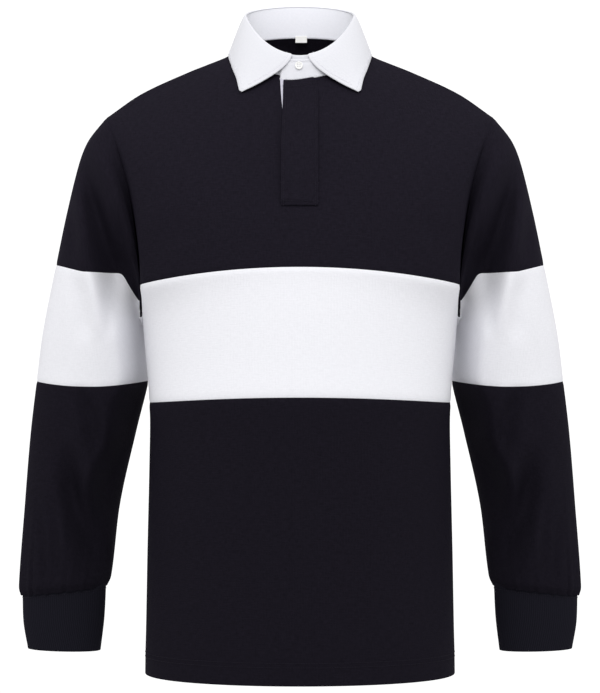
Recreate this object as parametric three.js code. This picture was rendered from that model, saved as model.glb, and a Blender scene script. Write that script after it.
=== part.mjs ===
// A long-sleeved rugby shirt, filled out as worn, with nobody in it.
// Millimetres. +X is the wearer's left, +Y the back, +Z up. The origin is midway between the
// two high shoulder points, at the base of the neck, where the shoulders carry the shirt.
import * as THREE from 'three';
import { mergeVertices } from 'three/addons/utils/BufferGeometryUtils.js';

// Cloth and seams
const JERSEY = 1.8; // wall of the heavy body jersey
const TWILL = 1.5; // wall of the collar, two plies pressed
const SEAM_GAP = 0.3; // space between two pieces at a seam
const FOLDED_SEAM = 0.6; // two normals whose sum is shorter face each other

// Neck seam, a tilted loop
const NECK_HALF = 72;
const NECK_SIDE = { y: 6, z: 3 };
const NECK_FRONT = { y: -75, z: -39 };
const NECK_BACK = { y: 62, z: 21 };

// Armhole, from the shoulder point to the underarm
const SHOULDER_POINT = { x: 232, y: 8, z: -80 };
const UNDERARM = { x: 190, z: -318 };
const ARMHOLE_FRONT = 70;
const ARMHOLE_BACK = 66;
const ARMHOLE_HOLLOW = 2.3; // how soon the armhole turns in below the shoulder point

// Shirt length and neck slit
const HEM_Z = -747;
const SLIT_HALF = 1;
const SLIT_FOOT_Z = -172;

// Shoulder seam from the neck to the shoulder point, seen from the front
const SHOULDER = [
  { v: 0, x: NECK_HALF, z: NECK_SIDE.z },
  { v: 0.1, x: 85, z: -7.5 },
  { v: 0.25, x: 101, z: -13 },
  { v: 0.5, x: 136, z: -26.5 },
  { v: 0.78, x: 191, z: -52 },
  { v: 1, x: SHOULDER_POINT.x, z: SHOULDER_POINT.z },
];

// Side seam from the underarm to the hem
const SIDE = [
  { v: 2, half: UNDERARM.x, y: 8, z: UNDERARM.z },
  { v: 2.12, half: 186.4, y: 8, z: -366 },
  { v: 2.25, half: 181, y: 8, z: -423 },
  { v: 2.4, half: 181.6, y: 8, z: -490 },
  { v: 2.7, half: 184.4, y: 8, z: -618 },
  { v: 3, half: 186, y: 8, z: HEM_Z },
];

// Middle lines of the front and the back, and how round each row is: 0.5 is an ellipse,
// 1 a parabola. The station v is 0 at the neck, 1 at the shoulder point, 2 at the underarm
// and 3 at the hem.
const FRONT = [
  { v: 0, y: NECK_FRONT.y, z: NECK_FRONT.z, roundY: 0.5, roundZ: 0.5 },
  { v: 0.5, y: -97, z: -84, roundY: 0.72, roundZ: 0.8 },
  { v: 1, y: -114, z: -130, roundY: 0.86, roundZ: 1 },
  { v: 1.25, y: -123, z: -172, roundY: 0.74, roundZ: 1 },
  { v: 1.5, y: -130, z: -216, roundY: 0.6, roundZ: 1 },
  { v: 1.75, y: -134, z: -264, roundY: 0.5, roundZ: 1 },
  { v: 2, y: -136, z: -314, roundY: 0.46, roundZ: 1 },
  { v: 2.25, y: -138, z: -415, roundY: 0.46, roundZ: 1 },
  { v: 2.6, y: -140, z: -570, roundY: 0.46, roundZ: 1 },
  { v: 3, y: -142, z: HEM_Z, roundY: 0.46, roundZ: 1 },
];
const BACK = [
  { v: 0, y: NECK_BACK.y, z: NECK_BACK.z, roundY: 0.5, roundZ: 0.5 },
  { v: 0.5, y: 88, z: -18, roundY: 0.6, roundZ: 0.8 },
  { v: 1, y: 108, z: -68, roundY: 0.66, roundZ: 1 },
  { v: 1.25, y: 118, z: -126, roundY: 0.6, roundZ: 1 },
  { v: 1.5, y: 123, z: -192, roundY: 0.54, roundZ: 1 },
  { v: 1.75, y: 123, z: -262, roundY: 0.48, roundZ: 1 },
  { v: 2, y: 120, z: -316, roundY: 0.46, roundZ: 1 },
  { v: 2.25, y: 112, z: -419, roundY: 0.46, roundZ: 1 },
  { v: 2.6, y: 112, z: -570, roundY: 0.46, roundZ: 1 },
  { v: 3, y: 124, z: HEM_Z, roundY: 0.46, roundZ: 1 },
];
const BAND_TOP_V = 1.75;
const BAND_FOOT_V = 2.25;

// Stations of the rows, and of the columns from the middle to the side
const SHOULDER_ROWS = [0, 0.1, 0.25, 0.5, 0.75];
const ARMHOLE_DEGREES = [0, 18, 36, 54, 72, 90, 108, 122, 135, 150, 165, 180];
const SIDE_ROWS = [2.06, 2.12, 2.185, 2.25, 2.35, 2.45, 2.58, 2.72, 2.86, 3];
const PANEL_ROWS = [
  ...SHOULDER_ROWS,
  ...ARMHOLE_DEGREES.map((degrees) => 1 + degrees / 180),
  ...SIDE_ROWS,
];
const COLUMN_DEGREES = [9, 19, 29, 39, 49, 58, 67, 75, 83, 90];

// Sleeve rings. The station r is 0 at the armhole, 1 at the top of the white band, 2 at its
// foot and 3 at the cuff. outer and inner are the ring's far and near points, midY its middle,
// front and back its half depths. hollow draws it in below the shoulder, level is 1 for a
// flat ring and less for one whose near side drops at the underarm, sag lowers its middle.
const SLEEVE = [
  {
    r: 0, outerX: SHOULDER_POINT.x, outerZ: SHOULDER_POINT.z, innerX: UNDERARM.x,
    innerZ: UNDERARM.z, midY: 8, front: ARMHOLE_FRONT, back: ARMHOLE_BACK,
    hollow: ARMHOLE_HOLLOW, level: 1, sag: 0,
  },
  {
    r: 0.33, outerX: 258.5, outerZ: -116, innerX: 190.8, innerZ: -323, midY: 12, front: 72,
    back: 67, hollow: 1.6, level: 0.85, sag: 0,
  },
  {
    r: 0.67, outerX: 276, outerZ: -174, innerX: 190.6, innerZ: -328, midY: 18, front: 68,
    back: 67, hollow: 1.2, level: 0.6, sag: 0,
  },
  {
    r: 1, outerX: 294.5, outerZ: -258, innerX: 190, innerZ: -334, midY: 25, front: 62,
    back: 66, hollow: 1, level: 0.3, sag: 0,
  },
  {
    r: 1.5, outerX: 311, outerZ: -338, innerX: 187.8, innerZ: -364, midY: 33, front: 60,
    back: 64, hollow: 1, level: 0.6, sag: 3,
  },
  {
    r: 2, outerX: 319, outerZ: -398, innerX: 185.5, innerZ: -398, midY: 37, front: 58,
    back: 62, hollow: 1, level: 1, sag: 6,
  },
  {
    r: 2.3, outerX: 326.5, outerZ: -462, innerX: 200.5, innerZ: -460, midY: 37, front: 55,
    back: 57, hollow: 1, level: 1, sag: 4,
  },
  {
    r: 2.65, outerX: 333.5, outerZ: -552, innerX: 220, innerZ: -549, midY: 34, front: 49,
    back: 51, hollow: 1, level: 1, sag: 2,
  },
  {
    r: 2.93, outerX: 339, outerZ: -644, innerX: 229, innerZ: -633, midY: 29, front: 41,
    back: 43, hollow: 1, level: 1, sag: 0,
  },
  {
    r: 3, outerX: 336.5, outerZ: -656, innerX: 233.5, innerZ: -645, midY: 28, front: 34,
    back: 36, hollow: 1, level: 1, sag: 0,
  },
];
const UPPER_RINGS = [0, 0.15, 0.32, 0.5, 0.67, 0.84, 1];
const BAND_RINGS = [1, 1.25, 1.5, 1.75, 2];
const LOWER_RINGS = [2, 2.13, 2.27, 2.41, 2.55, 2.69, 2.82, 2.93, 2.97, 3];
const SLEEVE_RINGS = [...UPPER_RINGS, ...BAND_RINGS.slice(1), ...LOWER_RINGS.slice(1)];
const RING_DEGREES = [
  ...ARMHOLE_DEGREES,
  ...ARMHOLE_DEGREES.slice(1, -1).reverse().map((degrees) => 360 - degrees),
];

// Cuff rings; the station r is 0 at the sleeve and 1 at the wrist
const FLAT_RING = { hollow: 1, level: 1, sag: 0 };
const CUFF = [
  {
    r: 0, outerX: 335.5, outerZ: -656.3, innerX: 234.5, innerZ: -645.3, midY: 28, front: 32,
    back: 34, ...FLAT_RING,
  },
  {
    r: 0.5, outerX: 334.3, outerZ: -689, innerX: 236.5, innerZ: -684, midY: 27.5, front: 31,
    back: 32, ...FLAT_RING,
  },
  {
    r: 1, outerX: 329, outerZ: -720, innerX: 241, innerZ: -722, midY: 27, front: 29, back: 30,
    ...FLAT_RING,
  },
];
const CUFF_ROWS = [0, 0.33, 0.67, 1];

// Largest folds: soft troughs of a sleeve, each from one place to another by degrees round
// the ring, negative behind, and by station
const SLEEVE_FOLDS = [
  { fromTurn: 96, fromR: 0.3, toTurn: 128, toR: 1.5, width: 15, depth: 7 },
  { fromTurn: 128, fromR: 1.3, toTurn: 112, toR: 2.2, width: 16, depth: 5 },
  { fromTurn: 60, fromR: 2.35, toTurn: 118, toR: 2.9, width: 15, depth: 4 },
  { fromTurn: -100, fromR: 0.35, toTurn: -130, toR: 1.4, width: 17, depth: 8 },
  { fromTurn: -62, fromR: 2.05, toTurn: -120, toR: 2.6, width: 20, depth: 5 },
];

// Collar: the fold line at the top of the stand, and the stand's lapped ends in front
const FOLD_HALF = 62.5;
const FOLD_FRONT = { y: -72, z: -12.5 };
const FOLD_SIDE = { y: 6, z: 44 };
const FOLD_BACK = { y: 62, z: 59 };
const FOLD_DIP = 1.55; // how late the fold line drops towards the front
const LAP_OUT = 2.6; // how far the upper end stands in front of the under end
const LAP_FROM = 300; // where the upper end starts to rise, in degrees round the neck
const LAP_FULL = 345;
const LAP_OVER = 18; // degrees that each end runs past the middle front
const LAP_UNDER = 12;
const STAND_STEPS = 44;
const STAND_ROWS = [0, 0.5, 1];

// Where the leaf's lower edge lies: turn 0 is its front tip, 0.5 the shoulder seam and 1 the
// middle back; v and share place it on the front or back, clear is its height over the cloth
const LEAF_EDGE = [
  { turn: 0, v: 0.385, share: 0.585, clear: 2.8 },
  { turn: 0.2, v: 0.25, share: 0.733, clear: 3 },
  { turn: 0.38, v: 0.13, share: 0.92, clear: 3 },
  { turn: 0.5, v: 0.1, share: 1, clear: 3 },
  { turn: 0.64, v: 0.1, share: 0.88, clear: 4 },
  { turn: 0.82, v: 0.1, share: 0.5, clear: 6 },
  { turn: 1, v: 0.1, share: 0, clear: 7 },
];
const CHEST = { y: 6, z: -130 }; // what the leaf's edge lies away from
const LEAF_START = 9; // degrees from the middle front to the end of the leaf
const LEAF_OFF = 1.0; // from the stand's outer face to the leaf's start, at the fold
const LEAF_ROLL = 6; // how far the leaf swings out as it turns down
const LEAF_STEPS = 22;
const LEAF_ROWS = [0, 0.12, 0.3, 0.53, 0.77, 1];

// Placket: free edges of the navy top layer and of the white facing that shows past it, by
// the distance down from the neck seam
const PLACKET_EDGE = [
  { down: 0, top: -18.5, facing: -23.8 },
  { down: 27, top: -19.5, facing: -23.6 },
  { down: 51, top: -20.6, facing: -20 },
  { down: 81, top: -21.5, facing: -18 },
  { down: 153, top: -21.8, facing: -18 },
];
const PLACKET_RIGHT = 21;
const PLACKET_LONG = 153;
const PLACKET_INSET = 3; // how far the facing's hidden sides lie inside the top layer's
const PLACKET_WALL = 1.2;
const FACING_WALL = 0.8;
const FACING_CLEAR = 0.5;
const PLACKET_ROWS = 12;
const PLACKET_COLUMNS = 5;

// Label, and the button on the stand
const LABEL = { left: -5.6, right: 8.9, top: 23, foot: 14.2, wall: 0.6 };
const BUTTON = { x: -1.3, z: -26, radius: 4.6, thick: 2.4, rim: 1.1, dish: 0.6, bevel: 0.5 };

const radians = THREE.MathUtils.degToRad;
const blend = THREE.MathUtils.lerp;
const smooth = THREE.MathUtils.smoothstep;
const vec = (x, y, z) => new THREE.Vector3(x, y, z);
const mirrored = (p) => vec(-p.x, p.y, p.z);

// Smooth value of one column of a table at a station
function column(table, key, name, at) {
  let i = 0;
  while (i < table.length - 2 && at > table[i + 1][key]) i += 1;
  const a = table[i];
  const b = table[i + 1];
  const span = b[key] - a[key];
  const slope = (p, q) => (q[name] - p[name]) / (q[key] - p[key]);
  const slopeA = slope(table[i - 1] ?? a, b);
  const slopeB = slope(a, table[i + 2] ?? b);
  const t = THREE.MathUtils.clamp((at - a[key]) / span, 0, 1);
  const rise = t * t * (3 - 2 * t);
  const start = t * (1 - t) * (1 - t);
  const end = t * t * (t - 1);
  return blend(a[name], b[name], rise) + span * (start * slopeA + end * slopeB);
}

// A point of a sleeve or cuff ring of the left side; turn is in degrees, from the outside
// over the front to the underarm
function ringPoint(table, turn, r) {
  const at = (name) => column(table, 'r', name, r);
  const sin = Math.sin(radians(turn));
  const high = (1 + Math.cos(radians(turn))) / 2;
  const low = 1 - high;
  const drop = at('level') * low + (1 - at('level')) * low ** 12;
  return vec(
    blend(at('innerX'), at('outerX'), high ** at('hollow')),
    at('midY') - (sin > 0 ? at('front') : at('back')) * sin,
    blend(at('outerZ'), at('innerZ'), drop) - at('sag') * sin * sin,
  );
}

// The side end of a row: on the shoulder seam, the armhole or the side seam
function sideOf(v, back) {
  if (v < 1) {
    const y = blend(NECK_SIDE.y, SHOULDER_POINT.y, v);
    return vec(column(SHOULDER, 'v', 'x', v), y, column(SHOULDER, 'v', 'z', v));
  }
  if (v <= 2) return ringPoint(SLEEVE, (v - 1) * (back ? -180 : 180), 0);
  return vec(column(SIDE, 'v', 'half', v), column(SIDE, 'v', 'y', v), column(SIDE, 'v', 'z', v));
}

// A point of the front or back, its place across given as a share of the row's half width
function panelPoint(back, v, share) {
  const table = back ? BACK : FRONT;
  const side = sideOf(v, back);
  const inside = Math.max(0, 1 - share * share);
  return vec(
    side.x * share,
    blend(side.y, column(table, 'v', 'y', v), inside ** column(table, 'v', 'roundY', v)),
    blend(side.z, column(table, 'v', 'z', v), inside ** column(table, 'v', 'roundZ', v)),
  );
}

// The cloth of the front at a place given by x and z
function frontAt(x, z) {
  let above = 0;
  let below = 3;
  for (let i = 0; i < 40; i += 1) {
    const v = (above + below) / 2;
    const half = sideOf(v, false).x;
    if (Math.abs(x) >= half || panelPoint(false, v, x / half).z > z) above = v;
    else below = v;
  }
  return panelPoint(false, above, x / sideOf(above, false).x);
}

function panelGrid(back) {
  return PANEL_ROWS.map((v) => {
    const slit = SLIT_HALF / sideOf(v, back).x;
    const shares = [slit, ...COLUMN_DEGREES.map((degrees) => Math.sin(radians(degrees)))];
    const row = [...shares.map((share) => -share).reverse(), ...shares];
    return row.map((share) => panelPoint(back, v, share));
  });
}

// How deep the folds lie at a place of the sleeve
function foldDepth(turn, r) {
  const signed = turn > 180 ? turn - 360 : turn;
  return SLEEVE_FOLDS.reduce((sum, fold) => {
    const along = (r - fold.fromR) / (fold.toR - fold.fromR);
    if (along <= 0 || along >= 1) return sum;
    const away = (signed - blend(fold.fromTurn, fold.toTurn, along)) / fold.width;
    return sum + fold.depth * Math.exp(-away * away) * Math.sin(Math.PI * along);
  }, 0);
}

function sleeveGrid() {
  return SLEEVE_RINGS.map((r) => {
    const middle = ringPoint(SLEEVE, 0, r).add(ringPoint(SLEEVE, 180, r)).divideScalar(2);
    return RING_DEGREES.map((turn) => {
      const point = ringPoint(SLEEVE, turn, r);
      const inward = middle.clone().sub(point).setZ(0).normalize();
      return point.addScaledVector(inward, foldDepth(turn, r));
    });
  });
}

// A sheet is a grid of outer points with its normals. facing is 1 where the columns run to
// the right as seen from outside and the rows down, and -1 where they run to the left.
function sheet(grid, closed, facing) {
  const normals = grid.map((row) => row.map(() => vec(0, 0, 0)));
  const columns = grid[0].length;
  for (let r = 0; r < grid.length - 1; r += 1) {
    for (let c = 0; c < (closed ? columns : columns - 1); c += 1) {
      const d = (c + 1) % columns;
      const down = grid[r + 1][d].clone().sub(grid[r][c]);
      const across = grid[r + 1][c].clone().sub(grid[r][d]);
      const normal = across.cross(down).normalize().multiplyScalar(facing);
      const corners = [normals[r][c], normals[r][d], normals[r + 1][c], normals[r + 1][d]];
      corners.forEach((sum) => sum.add(normal));
    }
  }
  normals.forEach((row) => row.forEach((normal) => normal.normalize()));
  return { grid, normals, closed, facing };
}

// The closed wall of cloth of a sheet, without the cells that are cut
function wall({ grid, normals, closed, facing }, thick, cut = () => false) {
  const columns = grid[0].length;
  const count = grid.length * columns;
  const outer = grid.flat();
  const directions = normals.flat();
  const inner = outer.map((p, i) => p.clone().addScaledVector(directions[i], -thick));
  const points = [...outer, ...inner];
  const index = [];
  const face = (a, b, c, d) => {
    const corners = facing > 0 ? [a, b, c, a, c, d] : [a, c, b, a, d, c];
    index.push(...corners);
  };
  const rim = new Map();
  const edge = (a, b) => {
    if (!rim.delete(`${b} ${a}`)) rim.set(`${a} ${b}`, [a, b]);
  };
  for (let r = 0; r < grid.length - 1; r += 1) {
    for (let c = 0; c < (closed ? columns : columns - 1); c += 1) {
      if (cut(r, c)) continue;
      const d = (c + 1) % columns;
      const below = (r + 1) * columns;
      const corners = [r * columns + c, below + c, below + d, r * columns + d];
      face(...corners);
      face(...corners.map((corner) => corner + count).reverse());
      corners.forEach((corner, i) => edge(corner, corners[(i + 1) % 4]));
    }
  }
  // The rim's faces are split the same way on both sides of a seam, so that they never cross
  rim.forEach(([a, b]) => {
    const run = points[b].clone().sub(points[a]).toArray();
    const widest = run.reduce((best, gap) => (Math.abs(gap) > Math.abs(best) ? gap : best), 0);
    if (widest > 0) face(b, a, a + count, b + count);
    else face(b + count, b, a, a + count);
  });
  const geometry = new THREE.BufferGeometry().setFromPoints(points);
  geometry.setIndex(index);
  const merged = mergeVertices(geometry, 1e-3);
  merged.computeVertexNormals();
  return merged;
}

const front = sheet(panelGrid(false), false, 1);
const back = sheet(panelGrid(true), false, -1);
const sleeve = sheet(sleeveGrid(), true, -1);
const FIRST_ARMHOLE = SHOULDER_ROWS.length;
const LAST_ARMHOLE = FIRST_ARMHOLE + ARMHOLE_DEGREES.length - 1;
const LAST_COLUMN = front.grid[0].length - 1;

// One sheet at a point of a seam: where it ends there, and which way its cloth runs on
function end(piece, row, col, nextRow, nextCol) {
  const into = piece.grid[nextRow][nextCol].clone().sub(piece.grid[row][col]).normalize();
  return { piece, row, col, into, normal: piece.normals[row][col].clone(), shift: vec(0, 0, 0) };
}

// Parts the sheets that meet at one point by the seam gap, and turns their rims the same way
function join(ends) {
  const facing = ends.reduce((sum, { normal }) => sum.add(normal), vec(0, 0, 0));
  const onward = ends.reduce((sum, { into }) => sum.add(into), vec(0, 0, 0));
  let folded = false;
  ends.forEach((a, i) => ends.slice(i + 1).forEach((b) => {
    const faceToFace = a.normal.clone().add(b.normal).length() < FOLDED_SEAM;
    const apart = faceToFace ? b.normal.clone().sub(a.normal) : a.into.clone().sub(b.into);
    apart.normalize().multiplyScalar(SEAM_GAP / 2);
    a.shift.add(apart);
    b.shift.sub(apart);
    folded ||= faceToFace;
  }));
  const shared = (folded ? onward : facing).normalize();
  ends.forEach(({ piece, row, col, shift }) => {
    piece.grid[row][col].add(shift);
    piece.normals[row][col].copy(shared);
  });
}

PANEL_ROWS.forEach((v, row) => {
  const ends = [front, back].map((piece) => end(piece, row, LAST_COLUMN, row, LAST_COLUMN - 1));
  const step = row - FIRST_ARMHOLE;
  const rear = (RING_DEGREES.length - step) % RING_DEGREES.length;
  const onArmhole = row > FIRST_ARMHOLE && row < LAST_ARMHOLE;
  const armholeEnd = row === FIRST_ARMHOLE || row === LAST_ARMHOLE;
  if (armholeEnd) join([...ends, end(sleeve, 0, step, 1, step)]);
  else if (onArmhole) [step, rear].forEach((col, i) => join([ends[i], end(sleeve, 0, col, 1, col)]));
  else join(ends);
  [front, back].forEach((piece) => {
    piece.grid[row][0] = mirrored(piece.grid[row][LAST_COLUMN]);
    piece.normals[row][0] = mirrored(piece.normals[row][LAST_COLUMN]);
  });
});

// The part of a sheet between two rows, drawn back by half the gap where a next piece follows
function cutOut(piece, from, to) {
  const grid = piece.grid.slice(from, to + 1).map((row) => row.map((p) => p.clone()));
  const drawBack = (row, next) => row.forEach((p, c) => {
    p.addScaledVector(next[c].clone().sub(p).normalize(), SEAM_GAP / 2);
  });
  if (from > 0) drawBack(grid[0], grid[1]);
  if (to < piece.grid.length - 1) drawBack(grid.at(-1), grid.at(-2));
  return { ...piece, grid, normals: piece.normals.slice(from, to + 1) };
}

const shirt = new THREE.Group();

function add(name, geometry, look) {
  const mesh = new THREE.Mesh(geometry, look);
  mesh.name = name;
  shirt.add(mesh);
  return mesh;
}

function material(colour, roughness) {
  return new THREE.MeshStandardMaterial({ color: colour, roughness, metalness: 0 });
}
const navyJersey = material('#201d26', 0.9);
const whiteJersey = material('#f2f1f6', 0.9);
const whiteTwill = material('#e9eaee', 0.8);
const navyRib = material('#17161c', 0.92);
const labelSatin = material('#f4f3f0', 0.5);
const buttonResin = material('#efeae0', 0.35);

// Front and back, each an upper piece, a band and a lower piece
const bandTop = PANEL_ROWS.indexOf(BAND_TOP_V);
const bandFoot = PANEL_ROWS.indexOf(BAND_FOOT_V);
const hem = PANEL_ROWS.length - 1;
const inSlit = (r, c) => c === COLUMN_DEGREES.length && front.grid[r + 1][c].z > SLIT_FOOT_Z;
add('front_upper', wall(cutOut(front, 0, bandTop), JERSEY, inSlit), navyJersey);
add('front_band', wall(cutOut(front, bandTop, bandFoot), JERSEY), whiteJersey);
add('front_lower', wall(cutOut(front, bandFoot, hem), JERSEY), navyJersey);
add('back_upper', wall(cutOut(back, 0, bandTop), JERSEY), navyJersey);
add('back_band', wall(cutOut(back, bandTop, bandFoot), JERSEY), whiteJersey);
add('back_lower', wall(cutOut(back, bandFoot, hem), JERSEY), navyJersey);

// Sleeves and cuffs, the left ones made and the right ones mirrored
const bandRing = UPPER_RINGS.length - 1;
const bandEnd = bandRing + BAND_RINGS.length - 1;
const sleeveEnd = SLEEVE_RINGS.length - 1;
const cuffGrid = CUFF_ROWS.map((r) => RING_DEGREES.map((turn) => ringPoint(CUFF, turn, r)));
const cuff = sheet(cuffGrid, true, -1);
const mirroredSheet = (piece) => ({
  grid: piece.grid.map((row) => row.map(mirrored)),
  normals: piece.normals.map((row) => row.map(mirrored)),
  closed: piece.closed,
  facing: -piece.facing,
});
[['left', (piece) => piece], ['right', mirroredSheet]].forEach(([side, turned]) => {
  const upper = turned(cutOut(sleeve, 0, bandRing));
  const band = turned(cutOut(sleeve, bandRing, bandEnd));
  const lower = turned(cutOut(sleeve, bandEnd, sleeveEnd));
  add(`sleeve_${side}_upper`, wall(upper, JERSEY), navyJersey);
  add(`sleeve_${side}_band`, wall(band, JERSEY), whiteJersey);
  add(`sleeve_${side}_lower`, wall(lower, JERSEY), navyJersey);
  add(`cuff_${side}`, wall(turned(cuff), JERSEY), navyRib);
});

// A point of a loop round the neck, from the middle front over the right side
function loopPoint(half, frontEnd, side, backEnd, degrees, dip) {
  const cos = Math.cos(radians(degrees));
  const middle = cos > 0 ? frontEnd : backEnd;
  return vec(
    -half * Math.sin(radians(degrees)),
    blend(side.y, middle.y, Math.abs(cos)),
    blend(side.z, middle.z, cos > 0 ? cos ** dip : -cos),
  );
}
const neckPoint = (degrees) => loopPoint(NECK_HALF, NECK_FRONT, NECK_SIDE, NECK_BACK, degrees, 1);
const foldPoint = (degrees) => (
  loopPoint(FOLD_HALF, FOLD_FRONT, FOLD_SIDE, FOLD_BACK, degrees, FOLD_DIP)
);
const outwards = (p) => vec(p.x, p.y - NECK_SIDE.y, 0).normalize();
const lapAt = (degrees) => LAP_OUT * smooth(degrees, LAP_FROM, LAP_FULL);

// Collar stand: starts under the lap, runs round the right side and the back, ends over it
const standGrid = STAND_ROWS.map((down) => (
  Array.from({ length: STAND_STEPS + 1 }, (_, i) => {
    const degrees = blend(-LAP_UNDER, 360 + LAP_OVER, i / STAND_STEPS);
    const foot = neckPoint(degrees).add(vec(0, 0, SEAM_GAP));
    const p = foldPoint(degrees).lerp(foot, down);
    return p.addScaledVector(outwards(p), lapAt(degrees));
  })
));
add('collar_stand', wall(sheet(standGrid, false, -1), TWILL), whiteTwill);

// Collar leaf: from the fold line over and down to its lower edge, the right half mirrored
function leafEdge(turn) {
  const at = (name) => column(LEAF_EDGE, 'turn', name, turn);
  const p = panelPoint(turn > 0.5, at('v'), Math.min(1, at('share')));
  const away = vec(p.x / 2, p.y - CHEST.y, p.z - CHEST.z).normalize();
  return p.addScaledVector(away, at('clear'));
}
function leafCurve(turn) {
  const degrees = blend(360 - LEAF_START, 180, turn);
  const fold = foldPoint(degrees);
  const out = outwards(fold);
  const start = fold.clone().addScaledVector(out, LEAF_OFF + lapAt(degrees));
  const roll = start.clone().addScaledVector(out, LEAF_ROLL).add(vec(0, 0, TWILL));
  return new THREE.QuadraticBezierCurve3(start, roll, leafEdge(turn));
}
const leafCurves = Array.from({ length: LEAF_STEPS + 1 }, (_, i) => leafCurve(i / LEAF_STEPS));
const leafGrid = LEAF_ROWS.map((down) => {
  const left = leafCurves.map((curve) => curve.getPoint(down));
  return [...left, ...left.slice(0, -1).reverse().map(mirrored)];
});
add('collar_leaf', wall(sheet(leafGrid, false, 1), TWILL), whiteTwill);

// Placket: strips that lie on the front, from the neck seam down
function strip(edgeName, right, long, lift) {
  return Array.from({ length: PLACKET_ROWS + 1 }, (_, r) => (
    Array.from({ length: PLACKET_COLUMNS + 1 }, (__, c) => {
      const share = r / PLACKET_ROWS;
      const left = column(PLACKET_EDGE, 'down', edgeName, share * long);
      const x = blend(left, right, c / PLACKET_COLUMNS);
      const neckZ = neckPoint(THREE.MathUtils.radToDeg(Math.asin(-x / NECK_HALF))).z;
      const z = blend(neckZ - SEAM_GAP, NECK_FRONT.z - long, share);
      return frontAt(x, z).add(vec(0, -lift, 0));
    })
  ));
}
const facingLift = FACING_CLEAR + FACING_WALL;
const facingLong = PLACKET_LONG - PLACKET_INSET;
const facingGrid = strip('facing', PLACKET_RIGHT - PLACKET_INSET, facingLong, facingLift);
add('placket_facing', wall(sheet(facingGrid, false, 1), FACING_WALL), whiteTwill);
const topLift = facingLift + 2 * SEAM_GAP + PLACKET_WALL;
const placketGrid = strip('top', PLACKET_RIGHT, PLACKET_LONG, topLift);
add('placket_top', wall(sheet(placketGrid, false, 1), PLACKET_WALL), navyJersey);

// Neck label, hanging from the back neck seam on the inside
const labelY = NECK_BACK.y - TWILL - LABEL.wall - 3 * SEAM_GAP;
const halfway = (a, b) => [a, (a + b) / 2, b];
const labelGrid = halfway(LABEL.top, LABEL.foot).map((z) => (
  halfway(LABEL.left, LABEL.right).map((x) => vec(x, labelY, z))
));
add('neck_label', wall(sheet(labelGrid, false, 1), LABEL.wall), labelSatin);

// Button, a dished disc on the upper end of the stand
const { radius, thick, rim, dish, bevel } = BUTTON;
const buttonProfile = [
  new THREE.Vector2(0, 0),
  new THREE.Vector2(radius - bevel, 0),
  new THREE.Vector2(radius, bevel),
  new THREE.Vector2(radius, thick - bevel),
  new THREE.Vector2(radius - bevel, thick),
  new THREE.Vector2(radius - rim, thick),
  new THREE.Vector2(radius - rim - bevel, thick - dish),
  new THREE.Vector2(0, thick - dish),
];
const buttonDisc = new THREE.LatheGeometry(buttonProfile, 20);
buttonDisc.rotateX(Math.PI);
buttonDisc.deleteAttribute('uv');
buttonDisc.deleteAttribute('normal');
const buttonUp = (BUTTON.z - NECK_FRONT.z) / (FOLD_FRONT.z - NECK_FRONT.z);
const standFace = blend(NECK_FRONT.y, FOLD_FRONT.y, buttonUp) - LAP_OUT;
const button = add('neck_button', mergeVertices(buttonDisc, 1e-3), buttonResin);
button.position.set(BUTTON.x, standFace - 1.5 * SEAM_GAP, BUTTON.z);
button.rotation.x = -Math.atan2(FOLD_FRONT.y - NECK_FRONT.y, FOLD_FRONT.z - NECK_FRONT.z);

export default shirt;
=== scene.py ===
"""A long-sleeved rugby shirt, filled out as worn, with nobody in it. Tables and points are in
millimetres in the part's frame: +X the wearer's left, +Y the back, +Z up."""

import math

import bpy
import numpy as np
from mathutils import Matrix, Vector


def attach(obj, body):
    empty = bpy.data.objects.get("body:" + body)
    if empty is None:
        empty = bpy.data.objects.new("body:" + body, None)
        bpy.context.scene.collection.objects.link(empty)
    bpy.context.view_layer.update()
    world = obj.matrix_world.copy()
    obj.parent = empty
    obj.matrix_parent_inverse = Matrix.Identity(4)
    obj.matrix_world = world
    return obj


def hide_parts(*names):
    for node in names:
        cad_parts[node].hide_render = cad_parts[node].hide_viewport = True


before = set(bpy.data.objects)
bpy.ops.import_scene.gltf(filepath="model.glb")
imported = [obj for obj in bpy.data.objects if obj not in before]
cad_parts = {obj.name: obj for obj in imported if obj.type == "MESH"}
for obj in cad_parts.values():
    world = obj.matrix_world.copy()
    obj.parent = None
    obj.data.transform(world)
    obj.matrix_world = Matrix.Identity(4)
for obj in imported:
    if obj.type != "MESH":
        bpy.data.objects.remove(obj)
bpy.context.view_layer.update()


# The studio: a level long lens in front of the chest, a soft white surround, large soft lamps
# above and in front, and a pale floor well below the hem.
CAMERA_AWAY = 3.6
CAMERA_HIGH = -0.356
LENS = 155.84
LAMPS = (("top lamp", (0, -1.5, 1.2), 1.0, 19), ("front lamp", (0, -3.2, 0.6), 1.4, 5))
LAMPS_AIM = (0, 0, -0.2)
FLOOR_Z = -1.35
FLOOR_REACH = 4.0
FLOOR_CORNERS = 64
# Each share of the surround's light: the axis that it grows along, from where to where on it,
# and from how bright to how bright
SURROUND = (
    ("Y", -0.2, 0.7, 0.6, 0.4), ("X", 0.5, 0.95, 0, 0.74), ("Z", 0.1, 0.9, 0, 0.4),
    ("Y", 0.974, 0.984, 0, 0.7),
)


def linear_colour(code):
    """The linear colour of an sRGB hex code."""
    parts = [int(code[i:i + 2], 16) / 255 for i in (1, 3, 5)]
    return [c / 12.92 if c <= 0.04045 else ((c + 0.055) / 1.055) ** 2.4 for c in parts] + [1]


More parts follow.
